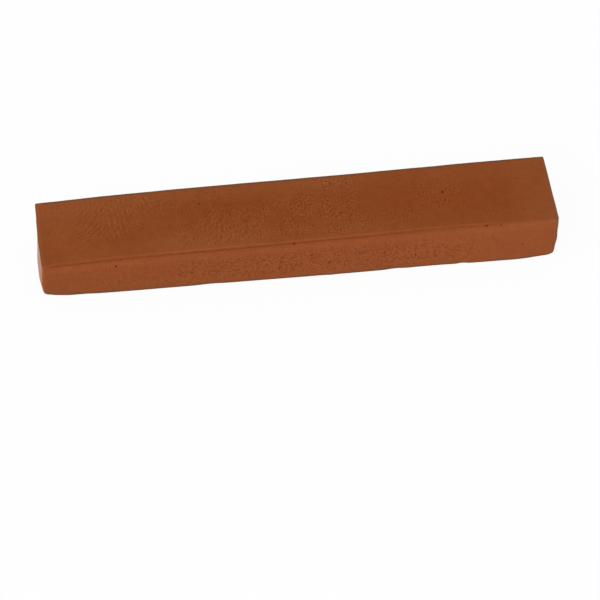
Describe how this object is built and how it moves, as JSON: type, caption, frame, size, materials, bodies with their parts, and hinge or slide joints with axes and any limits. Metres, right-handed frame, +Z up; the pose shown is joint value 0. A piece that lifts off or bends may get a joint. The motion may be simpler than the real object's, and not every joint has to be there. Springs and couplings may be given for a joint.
{
  "type": "burn-in stick",
  "caption": "Solid cast bar of brown hard filler resin with drafted walls and a rounded base, melted from one end to fill dents and gouges in finished wood.",
  "frame": {"origin": "middle of the flat base that the bar lies on", "axes": "+X along the length towards the thick end, +Y across the width, +Z up through the thickness"},
  "size_m": [0.1016, 0.019, 0.0102],
  "materials": {
    "cast_resin": "satin"
  },
  "bodies": {
    "root": {"filler_bar": "cast_resin"}
  },
  "joints": []
}
